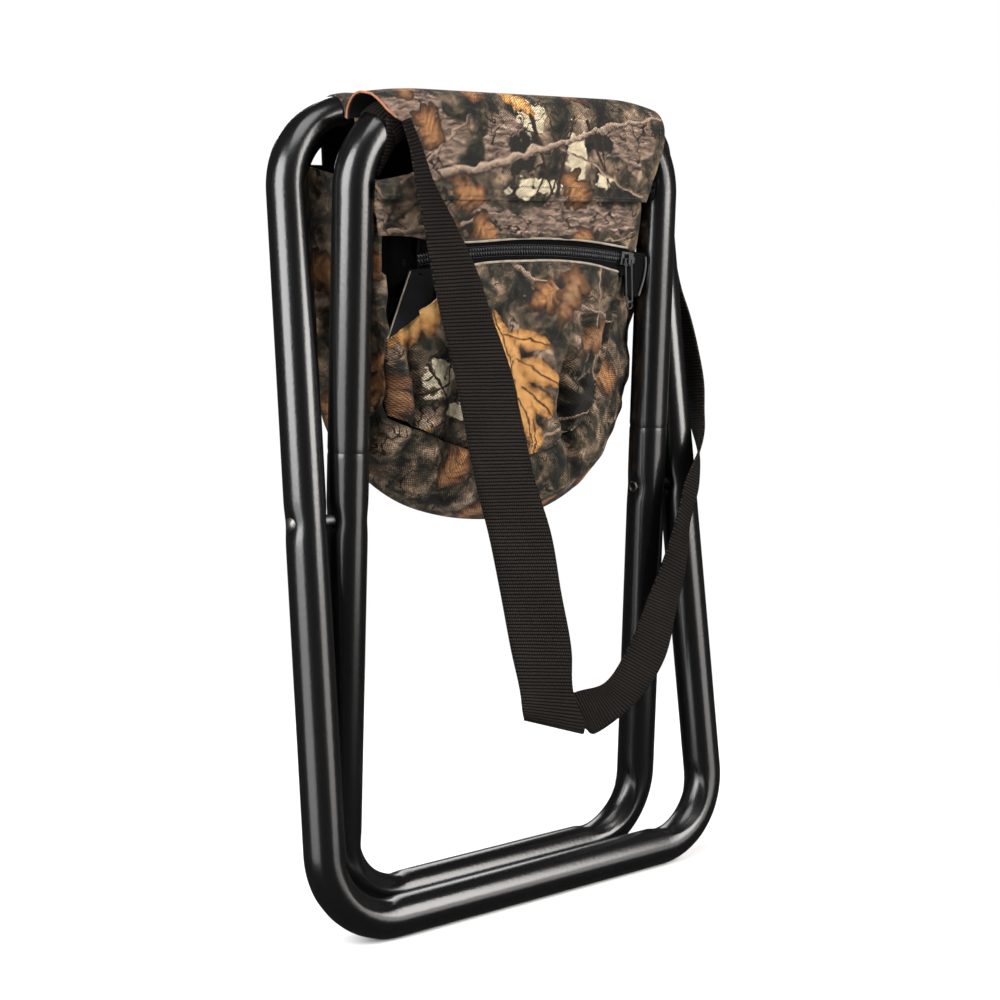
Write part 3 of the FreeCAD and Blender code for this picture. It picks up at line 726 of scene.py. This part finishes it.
# --- carry strap ---
# Its left and right edge at each station: millimetres right, behind and above the pivot.
STRAP_EDGES = [
    ((-101, -39, 230), (-95, -38, 232)), ((-95, -38, 214), (-86.5, -37, 216)),
    ((-93, -39, 196), (-79, -37, 197)),
    ((-89.5, -42, 171), (-64.5, -38, 172)), ((-86.5, -45, 142), (-51, -41, 143)),
    ((-80, -44, 116), (-42, -43, 116)), ((-70, -41, 86), (-33, -48, 85)),
    ((-62, -40, 53), (-25, -49, 51)), ((-54, -38, 20), (-20, -53, 19)),
    ((-43, -36, -14), (-11, -57, -15)), ((-35, -36, -50), (-4, -57, -51)),
    ((-29, -38, -86), (6, -54, -89)), ((-27, -44, -112), (12, -48, -118)),
    ((-27, -46.5, -127), (22, -46.5, -142)), ((-25, -44.5, -129.5), (23, -44.5, -146)),
    ((-22, -42, -127), (26, -42, -143)), ((16, -42, -120), (38, -37, -150)),
    ((48, -41, -116), (80, -34, -134)), ((70, -38, -96), (104, -32, -113)),
    ((92, -34, -66), (127, -22, -79)), ((107, -30, -48), (137, -19, -60)),
    ((113, -31, -34), (141, -18.5, -43)), ((116.5, -34.5, -18), (142.5, -18.5, -28)),
    ((121, -34, -7), (147.5, -17, -17)), ((124, -34, 2), (153, -16, -6)),
    ((132, -32.5, 13), (162, -9, 6)), ((145, -27, 24), (170.5, 0, 19)),
    ((156, -20, 36), (177, 12, 33)), ((164, -12, 49), (181, 22, 46)),
    ((166, -10, 66), (178, 26, 64)), ((166, -5, 89), (173, 31, 87)),
    ((164, 0, 111), (169, 36, 110)), ((162, 7, 132), (165, 42, 132)),
    ((161, 12, 158), (163, 43, 158)), ((161, 13, 184), (161, 42, 184)),
    ((159, 12, 208), (158, 38, 208)), ((153, 8, 226), (152, 34, 226)),
    ((140, 6, 241.5), (139, 32, 241.5)),
]


def ribbon(name, edges, count, width, thick, place):
    """A woven band between two edge lines, with flat coordinates across and along it."""
    knots = np.array([[*left, *right] for left, right in edges], float)
    line = spline(knots, count)
    left, right = line[:, :3], line[:, 3:]
    share = np.linspace(0, 1, 9)[None, :, None]
    points = left[:, None] * (1 - share) + right[:, None] * share
    gone = run_along((left + right) / 2)
    uv = np.stack(np.broadcast_arrays(share[..., 0] * width, gone[:, None]), -1)
    obj = sheet_piece(name, place(points), uv, WEBBING, thick, offset=0.0)
    return obj, gone[-1]


def strap():
    band, length = ribbon("carry_strap_band", STRAP_EDGES, 420, 38, 1.5,
                          lambda p: p / 1000 + PIVOT)
    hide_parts("carry_strap")
    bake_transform(band)


# --- cloth on the rails ---
TOWARD = np.array((0, -COS, -SIN))


def declare(obj):
    mesh = obj.data
    uv = np.zeros(len(mesh.loops) * 2)
    mesh.uv_layers["flat"].data.foreach_get("uv", uv)


def rail_wrap(back_s, front_s, radius):
    """Cloth over a rail, in section, from its back edge to its hem: distance, height, depth."""
    back = np.linspace(back_s, RAIL, 8, endpoint=False)
    turn = np.linspace(0, math.pi, 22, endpoint=False)
    front = np.linspace(RAIL, front_s, 46)
    s = np.concatenate([back, RAIL + radius * np.sin(turn), front])
    d = np.concatenate([np.full(8, -radius), -radius * np.cos(turn), np.full(46, radius)])
    gone = np.r_[0, np.cumsum(np.hypot(np.diff(s), np.diff(d)))]
    return gone, s, d


def flap_surface(a, row, s, d):
    """The front flap: a runs 0 to 1 across it, row is the distance along its section."""
    hangs = smoothstep(RAIL + 8, 232, s) * (d > 0)
    left = np.interp(s, [188, 198, 200, 203, 214, 223, 231, 236, 241, 249, 254],
                     [-115, -115, -104, -87, -84.5, -89, -95, -103, -109, -114, -116])
    right = np.interp(s, [188, 196, 206, 217, 230, 252], [97, 100.5, 104.5, 108.5, 111.5, 110.5])
    left = np.where(d > 3, left, -116.0)
    right = np.where(d > 3, right, 110.5)
    x = left + (right - left) * a
    sag = np.where(x < 0, 2.4, 4.6)
    drop = sag * (np.maximum(np.abs(x) - 72, 0) / 36) ** 2 * smoothstep(205, 245, s)
    wave = 0.7 * wobble(x, row, 3, 60) + 0.25 * wobble(x, row, 4, 16)
    depth = d + hangs * (wave + 1.2 * np.sin(x / 34) * smoothstep(225, 195, s) + 0.3)
    depth = depth + 0.8 * smoothstep(198.5, 196.8, s) * (d > 5)
    curl = smoothstep(-66, -92, x) * smoothstep(200, 225, s) * (d > 5)
    return x, s - drop, depth + 2.5 * curl


def front_cloth():
    gone, s, d = rail_wrap(236, FRONT_HEM, SLEEVE_R)
    a = np.linspace(0, 1, 120)[None]
    x, height, depth = flap_surface(a, gone[:, None], s[:, None], d[:, None])
    level = FRONT_HEM + gone[-1] - gone
    flat = np.stack([x, np.broadcast_to(level[:, None], x.shape)], -1)
    flap = sheet_piece("seat_front_flap", inner(x, height, depth), flat, CAMO, CLOTH, LINING)
    ride(flap, "inner_frame", ["front_sleeve"])
    declare(flap)

    rows = slice(2, 33)
    binding = inner(x[rows, 0], height[rows, 0], depth[rows, 0])
    ride(tube_along("flap_binding", binding, 0.0007, RUST_EDGE), "inner_frame")

    def line(a_from, a_to, s_from, s_to, count=120):
        share = np.linspace(0, 1, count)
        level = s_from + (s_to - s_from) * share
        row = gone[-1] - (level - FRONT_HEM)
        a = a_from + (a_to - a_from) * share
        x, up, out = flap_surface(a, row, level, np.full(count, SLEEVE_R))
        return inner(x, up, out + 0.25)

    for name, ends in (("flap_stitch_low", (0.01, 0.985, 190.5, 190.5)),
                       ("flap_stitch_high", (0.01, 0.985, 196.6, 196.6)),
                       ("flap_stitch_side", (0.978, 0.978, 190, 243))):
        ride(stitches(name, line(*ends), TOWARD), "inner_frame")


def rear_cloth():
    gone, s, d = rail_wrap(236, REAR_HEM, SLEEVE_R)
    x = np.linspace(-110, 118, 110)[None] + 0 * s[:, None]
    drop = 4.6 * (np.maximum(np.abs(x) - 98, 0) / 20) ** 2 * smoothstep(205, 245, s)[:, None]
    wave = 0.6 * wobble(x, gone[:, None], 8, 55)
    depth = -(d[:, None] + (0.6 + wave) * smoothstep(240, 225, s)[:, None] * (d[:, None] > 0))
    level = REAR_HEM + gone[-1] - gone
    flat = np.stack([300 - x, np.broadcast_to(level[:, None], x.shape)], -1)[:, ::-1]
    points = outer(x, s[:, None] - drop, depth)[:, ::-1]
    wrap = sheet_piece("seat_rear_flap", points, flat, CAMO, CLOTH, LINING)
    ride(wrap, "outer_frame", ["rear_sleeve"])
    declare(wrap)
    for name, level in (("rear_stitch_low", 200.5), ("rear_stitch_high", 206.5)):
        x = np.linspace(-107, 115, 100)
        line = outer(x, level, -15.4 - 0.6 * wobble(x, gone[-1] - level + REAR_HEM, 8, 55))
        ride(stitches(name, line, np.array((0, 1.0, 0))), "outer_frame")


def seat_cloth():
    """Hangs folded between the rails, at a radius that lets it lie across them when open."""
    t = np.linspace(0, 1, 46)
    share = t * t * (3 - 2 * t)
    rest = (2 * t - 1) * math.radians(1.23)
    spread = rest + OPENING * (share - 0.5)
    reach = 208.3 / np.cos(spread) - 9 * np.sin(math.pi * share) ** 2
    x = np.linspace(-104, 104, 70)
    y, z = reach * np.sin(rest), reach * np.cos(rest)
    gone = np.r_[0, np.cumsum(np.hypot(np.diff(y), np.diff(z)))]
    wave = 1.2 * wobble(x[None], gone[:, None], 21, 50) * np.sin(math.pi * t)[:, None]
    points = upright(x[None], z[:, None] + wave, y[:, None])
    flat = np.stack(np.broadcast_arrays(x[None], 600 + gone[:, None]), -1)
    seat = sheet_piece("seat_cloth", points[:, ::-1], flat[:, ::-1], CAMO, CLOTH, LINING, 0.0)
    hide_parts("seat_panel")
    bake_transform(seat)
    declare(seat)


# --- the pouch ---
PANEL_TOP = [(-98, 106), (-84, 119), (-69, 131), (-60, 146), (-42, 149.5), (0, 151.6), (31, 151.2),
             (52, 149.2), (82, 143)]
PANEL_LEFT = [(-98, 106), (-97, 92), (-94.5, 75), (-93, 60)]
PANEL_LOW = [(-93, 60), (-70.6, 50), (-47.6, 40.5), (-20, 33), (10, 30), (35, 36), (57, 49.5)]
PANEL_RIGHT = [(82, 143), (79, 122), (73, 98), (66.4, 74.8), (57, 49.5)]
BAND_LOW = [(-108, 167), (-84, 166), (-70, 163.5), (-50, 163), (0, 165.2), (24, 165),
            (51, 163.4), (85, 159), (94, 152)]
FRONT_RIM = [(-106, 190), (-106, 150), (-103, 118), *PANEL_LEFT, *PANEL_LOW[1:],
             *PANEL_RIGHT[-2:0:-1], (84, 143), (93, 165), (97, 190)]


def coons(top, low, left, right, across, down):
    """A patch filling four border lines, as rows going down of points going across."""
    t, b = spline(top, across), spline(low, across)
    l, r = spline(left, down), spline(right, down)
    u = np.linspace(0, 1, across)[:, None, None]
    v = np.linspace(0, 1, down)[None, :, None]
    sides = (1 - v) * t[:, None] + v * b[:, None] + (1 - u) * l[None] + u * r[None]
    corners = (1 - u) * ((1 - v) * t[0] + v * b[0]) + u * ((1 - v) * t[-1] + v * b[-1])
    return (sides - corners).transpose(1, 0, 2)


def away_from(x, s, line):
    """Distance of each point from a line of points."""
    found = np.full(np.shape(x), 1e9)
    for (ax, ay), (bx, by) in zip(line, line[1:]):
        run = max((bx - ax) ** 2 + (by - ay) ** 2, 1e-9)
        t = np.clip(((x - ax) * (bx - ax) + (s - ay) * (by - ay)) / run, 0, 1)
        found = np.minimum(found, np.hypot(x - ax - t * (bx - ax), s - ay - t * (by - ay)))
    return found


def pouch_sheet(name, spots, depth, material, thick, node=None):
    """A sewn piece of the pouch, standing out by a depth at each spot of its outline."""
    x, s = spots[..., 0], spots[..., 1]
    inside = LINING if material is CAMO else None
    piece = sheet_piece(name, inner(x, s, depth(x, s)), spots, material, thick, inside)
    ride(piece, "inner_frame", [node] if node else ())
    declare(piece)


def panel_depth(x, s):
    """How far the pouch's front stands out, with its folds and the dip at its sewn edge."""
    seam = away_from(x, s, PANEL_LEFT + PANEL_LOW[1:] + PANEL_RIGHT[::-1][1:])
    left = away_from(x, s, PANEL_LEFT)
    depth = 12.5 + 3.5 * smoothstep(0, 40, seam) - 4.0 * np.exp(-((seam / 3.5) ** 2))
    depth = depth - 3.0 * smoothstep(132, 150, s) - 5.0 * np.exp(-((left / 4.0) ** 2))
    folds = ((36, 94, 30, 72, 3.2, -8), (30, 76, 33, 58, 3.4, -8), (32, 62, 47, 30, 4.0, -8.5),
             (24, 106, 20, 54, 6, 4.5), (43, 90, 44, 54, 5.5, 5.0), (35, 82, 58, 67, 3.2, -6.5),
             (44, 70, 62, 56, 4.5, 3.5), (84, 128, 68, 72, 3, 4.5), (76, 122, 61, 72, 4.5, -5.5),
             (-95, 100, -83, 54, 4, 5.5), (-85, 104, -78, 56, 3.6, -8), (-101, 104, -92, 56, 2.6, -7),
             (-70, 98, -62, 46, 7, 4.5), (-84, 130, -84, 106, 10, -5.5), (-30, 110, -38, 44, 8, 4.0),
             (-52, 84, -56, 46, 4, -4.5), (2, 120, -6, 50, 7, -3.0), (50, 136, 60, 100, 6, 4.5),
             (44, 128, 52, 96, 4, -3.5), (14, 142, 8, 112, 6, 2.6), (20, 100, 40, 112, 3.5, -3.0))
    for ax, ay, bx, by, width, height in folds:
        depth = depth + height * ridge(x, s, (ax, ay), (bx, by), width)
    return depth + 1.1 * wobble(x, s, 12, 34) + 0.5 * wobble(x, s, 13, 12)


def band_depth(x, s):
    """How far the band above the zip stands out, with the hem along its top."""
    depth = 11.2 + 1.6 * np.sin((s - 160) / 11) + 0.5 * wobble(x, s, 15, 40)
    depth = depth - 2 * smoothstep(80, 96, x)
    loose = smoothstep(-84, -98, x)
    ruffle = 1.4 * wobble(x, s, 16, 14) + 1.2 * smoothstep(187, 189, s)
    return depth - 2.5 * loose + loose * ruffle


def tab_depth(x, s):
    """How far a zip end tab stands out: the left one lies deeper than the right one."""
    side = 1 if x.mean() > 0 else -1
    level = 10.0 if side > 0 else 5.2
    return level - 3.0 * smoothstep(90, 103, side * x) + 0.4 * wobble(x, s, 19, 25)


def pouch_front():
    spots = coons(PANEL_TOP, PANEL_LOW, PANEL_LEFT, PANEL_RIGHT, 130, 90)
    pouch_sheet("pouch_panel", spots, panel_depth, CAMO, CLOTH,
                "pouch_front_panel")
    spots = coons([(-116, 199), (-60, 197), (0, 196), (97, 196)], BAND_LOW,
                  [(-116, 199), (-112, 181), (-108, 167)], [(97, 196), (96, 175), (94, 152)],
                  130, 30)
    pouch_sheet("pouch_band", spots, band_depth, CAMO, CLOTH,
                "pouch_front_band")

    for name, line, shift in (("zip_edge_upper", BAND_LOW[2:8], 1.4),
                              ("zip_edge_lower", PANEL_TOP[3:], -1.6)):
        x, s = spline(line, 120).T
        out = 11.6 if shift > 0 else panel_depth(x, s)
        ride(tube_along(name, inner(x, s, out), 0.00075, PALE_EDGE), "inner_frame")
        thread = inner(x, s + shift, out + 0.25)
        ride(stitches(name + "_stitch", thread, TOWARD, 2.7, 2.0, 0.25), "inner_frame")

    # a dark lining wall inside the pouch's left side, put there also as painted shade for the dark
    # cavity behind the panel's edge
    wall = coons([(-107, 172), (-74, 172)], [(-102, 106), (-72, 143)],
                 [(-107, 172), (-104, 150), (-101, 134), (-102, 106)], [(-74, 172), (-72, 143)],
                 30, 50)
    pouch_sheet("pouch_lining_left", wall, lambda x, s: -1 + 0.8 * wobble(x, s, 18, 30), LINING,
                0.8)
    tab = coons([(-108, 168.5), (-83, 168)], [(-101.5, 134), (-82.6, 141), (-70, 145.5)],
                [(-108, 168.5), (-104.5, 150), (-101.5, 134)],
                [(-83, 168), (-80.5, 157), (-70, 145.5)], 16, 20)
    pouch_sheet("zip_tab_left", tab, tab_depth, TAPE, 1.1, "zip_end_tabs")
    tab = coons([(85.4, 157.5), (105, 155)], [(86, 128), (99.5, 127)], [(85.4, 157.5), (86, 128)],
                [(105, 155), (104.4, 143), (99.5, 127)], 16, 20)
    pouch_sheet("zip_tab_right", tab, tab_depth, TAPE, 1.1, "zip_end_tabs")
    # painted highlight along the right zip tab's edge, drawn as a thin grey tube
    x, s = spline([(104.3, 153), (104.6, 148), (103.8, 141), (100.6, 131), (99.4, 128)], 40).T
    ride(tube_along("zip_tab_edge_highlight", inner(x, s, 8.4), 0.0006, TAB_EDGE_HIGHLIGHT), "inner_frame")

    corner = coons([(-86, 147), (-66, 148)], [(-101, 106), (-68, 127)], [(-86, 147), (-101, 106)],
                   [(-66, 148), (-68, 127)], 16, 24)
    pouch_sheet("pouch_facing_left", corner, lambda x, s: 9.2 + 1.5 * smoothstep(-100, -75, x),
                LINING, 0.8)
    edge = inner(np.linspace(-85.5, -100.8, 30), np.linspace(146, 106.5, 30),
                 np.linspace(9.8, 9.4, 30))
    ride(tube_along("pouch_facing_edge", edge, 0.00055, PALE_EDGE, 6), "inner_frame")


def back_rim(count):
    """The back panel's outline from its top left corner round the bottom to the top right."""
    return spline([(-127, 208), (-126.5, 150), (-125.5, 110), (-122, 75), (-110, 43), (-90, 21),
                   (-64, 3), (-32, -8.5), (2, -14), (34, -14.5), (66, -7), (93, 8), (114, 34),
                   (128, 68), (131, 112), (130, 150), (127, 196)], count)


def pouch_sides():
    count, rows = 260, 30
    rim = spline(FRONT_RIM, count)
    back = back_rim(count)
    seam = np.where(rim[:, 1] < 145, panel_depth(rim[:, 0], rim[:, 1]) - 0.8, 9.0)
    near = inner(*rim.T, seam)
    far = upright(*back.T, 28.4)
    w = np.linspace(0, 1, rows)[:, None]
    t = np.linspace(0, 1, count)[None]
    points = near[None] * (1 - w[..., None]) + far[None] * w[..., None]
    away = np.stack([points[..., 0], 0 * points[..., 0], points[..., 2] - PIVOT[2] - 0.11], -1)
    away /= np.linalg.norm(away, axis=-1)[..., None]
    hump = np.sin(math.pi * w)

    def around(middle, width):
        return np.exp(-(((t - middle) / width) ** 2))

    low_left, left, right = around(0.42, 0.12), around(0.22, 0.1), around(0.74, 0.12)
    swell = hump * (6.0 - 10.0 * left + 3.0 * low_left + 3.0 * right)
    swell = swell + 3.2 * hump * wobble(t * 560, w * 60, 31, 46)
    swell = swell + 2.0 * left * np.sin(w * 15.0) * hump
    early = np.sin(math.pi * w**0.5)
    forward = early * (12.0 * low_left + 7.0 * left + 4.0 * around(0.6, 0.1) + 2.0 * right)
    seam_gap = np.exp(-((w / 0.07) ** 2)) * (t > 0.2) * (1 + wobble(t * 560, 0 * w, 34, 60))
    forward = forward + 2.4 * early * wobble(t * 560, w * 50, 33, 38) - 1.6 * seam_gap
    points = points + away * swell[..., None] / 1000
    points[..., 1] -= forward / 1000
    points[..., 1] += 1.2 * hump * wobble(t * 560, w * 60, 32, 60) / 1000
    gone = np.r_[0, np.cumsum(np.linalg.norm(np.diff(points, axis=1).mean(0), axis=1))] * 1000
    deep = np.r_[0, np.cumsum(np.linalg.norm(np.diff(points, axis=0).mean(1), axis=1))] * 1000
    flat = np.stack(np.broadcast_arrays(gone[None] - 330, -30 - deep[:, None]), -1)
    gusset = sheet_piece("pouch_sides", points, flat, CAMO, CLOTH, LINING)
    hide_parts("pouch_gusset")
    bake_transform(gusset)
    declare(gusset)

    rim = back[back[:, 1] < 130]
    share = np.linspace(0, 1, len(rim))
    bottom = np.stack([np.interp(np.linspace(0, 1, 90), share, rim[:, i]) for i in (0, 1)], -1)
    top = np.stack([np.linspace(-127, 127, 90), np.full(90, 209.0)], -1)
    v = np.linspace(0, 1, 60)[:, None, None]
    spots = top[None] * (1 - v) + bottom[None] * v
    x, s = spots[..., 0], spots[..., 1]
    y = 28.9 + 0.9 * wobble(x, s, 41, 55) * smoothstep(-8, 30, s)
    flat = np.stack([300 - x, s], -1)[:, ::-1]
    panel = sheet_piece("pouch_back", upright(x, s, y)[:, ::-1], flat, CAMO, CLOTH, LINING)
    ride(panel, "outer_frame", ["pouch_back_panel"])
    declare(panel)


# --- the zip ---
def zip_line(x, off=0.0):
    """The zip's centre line, an arch, with an offset square to it."""
    x = np.asarray(x, float)
    radius = 600.0 + off
    return x * radius / 600, -442 + np.sqrt(600.0**2 - x**2) * radius / 600


def zip_row():
    x = np.linspace(-80, 88, 120)
    for name, node, side, line in (("zip_tape_cloth_upper", "zip_tape_upper", 1, BAND_LOW),
                                   ("zip_tape_cloth_lower", "zip_tape_lower", -1, PANEL_TOP[3:])):
        border = spline(line, 200)
        edge = np.interp(x, border[:, 0], border[:, 1]) + 2.0 * side
        inner_x, inner_s = zip_line(x, 0.5 * side)
        share = np.linspace(0, 1, 8)
        s = inner_s[:, None] * (1 - share) + edge[:, None] * share
        xs = inner_x[:, None] * (1 - share) + x[:, None] * share
        d = 8.6 + 1.6 * share[None] + 0.2 * np.sin(x / 9)[:, None]
        tape = sheet_piece(name, inner(xs, s, d), np.stack([xs, s], -1), TAPE, 0.7)
        ride(tape, "inner_frame", [node])
        declare(tape)
    for name, node, side in (("zip_coil_upper", "zip_teeth_upper", 1),
                             ("zip_coil_lower", "zip_teeth_lower", -1)):
        turns = 82
        u = np.linspace(0, 1, turns * 9)
        angle = 2 * math.pi * turns * u
        x, s = zip_line(-80 + 164 * u, side * 1.25 + 1.35 * np.cos(angle))
        coil = tube_along(name, inner(x, s, 9.9 + 0.85 * np.sin(angle)), 0.00036, COIL, 6)
        ride(coil, "inner_frame", [node])
    for name, off in (("zip_stitch_upper", 3.2), ("zip_stitch_lower", -3.2)):
        x, s = zip_line(np.linspace(-79, 84, 120), off)
        ride(stitches(name, inner(x, s, 9.9), TOWARD, 2.2, 1.6, 0.2), "inner_frame")


def webbing_loops():
    """The strap's ends, sewn round a bend of each rail."""
    for name, node, body, place, half, side, start in (
            ("front_loop_webbing", "strap_loop_front", "inner_frame", inner, INNER_HALF, -1, 14),
            ("rear_loop_webbing", "strap_loop_rear", "outer_frame", outer, OUTER_HALF, 1, 24)):
        bend = np.radians(np.linspace(start, start + 26, 16))[:, None]
        turn = np.linspace(0, 2 * math.pi, 48)[None]
        radius = 13.6 + 0.35 * wobble(bend * 59, turn * 13, 5, 20)
        reach = BEND_R + radius * np.cos(turn)
        x = side * (half - BEND_R + reach * np.sin(bend))
        points = place(x, RAIL - BEND_R + reach * np.cos(bend), radius * np.sin(turn))
        flat = np.stack(np.broadcast_arrays(bend * 59, turn * 13.6), -1)
        if side > 0:
            points, flat = points[::-1], flat[::-1]
        loop = sheet_piece(name, points, flat, WEBBING, 1.2)
        ride(loop, body, [node])
        declare(loop)
    left = np.array([(-107.5, 236, 14.6), (-106, 222, 12), (-106.5, 211, 8), (-107.5, 201, 4)])
    right = np.array([(-96.5, 236, 14.0), (-97, 222, 9), (-100, 211, 5), (-103.5, 201, 1)])
    tail, _ = ribbon("front_loop_tail", list(zip(left, right)), 60, 17, 1.4,
                     lambda p: inner(p[..., 0], p[..., 1], p[..., 2]))
    ride(tail, "inner_frame")
    declare(tail)


studio()
tubes()
strap()
webbing_loops()
front_cloth()
rear_cloth()
seat_cloth()
pouch_front()
pouch_sides()
zip_row()

for node, material in (("pivot_rivet_left", BRIGHT), ("pivot_rivet_right", BRIGHT),
                       ("pivot_washer_left", BRIGHT), ("pivot_washer_right", BRIGHT),
                       ("pivot_spacer_left", PLAIN), ("pivot_spacer_right", PLAIN),
                       ("zip_slider", LACQUER), ("zip_pull", LACQUER), ("zip_stops", LACQUER)):
    obj = frame["nodes"][node]
    obj.data.materials.clear()
    obj.data.materials.append(material)
